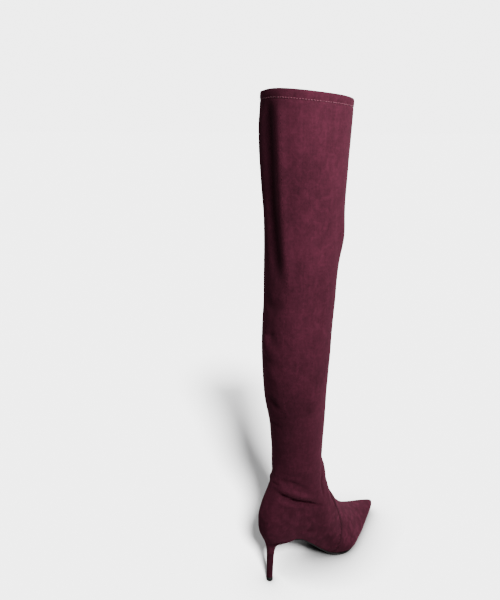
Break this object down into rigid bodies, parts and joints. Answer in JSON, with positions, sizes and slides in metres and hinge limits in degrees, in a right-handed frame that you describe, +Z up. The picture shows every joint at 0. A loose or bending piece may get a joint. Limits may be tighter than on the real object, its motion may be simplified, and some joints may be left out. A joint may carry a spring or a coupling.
{
  "type": "thigh high boot",
  "caption": "Right-foot thigh high boot in burgundy stretch suede, with a pointed toe, a close pull-on shaft and a slim covered high heel, standing on its sole.",
  "frame": {"origin": "middle of the boot's bounding box on the floor it stands on", "axes": "+Z up along the shaft, -Y towards the toe, -X towards the outer side of the right foot"},
  "size_m": [0.0992, 0.2394, 0.6329],
  "materials": {
    "suede": "napped stretch suede",
    "heel_cover": "napped suede cover",
    "sole": "satin black",
    "lining": "plain dark lining",
    "tip": "matte black"
  },
  "bodies": {
    "root": {"upper": "suede", "heel": "heel_cover", "outsole": "sole", "insole": "lining", "heel_tip": "tip"}
  },
  "joints": []
}
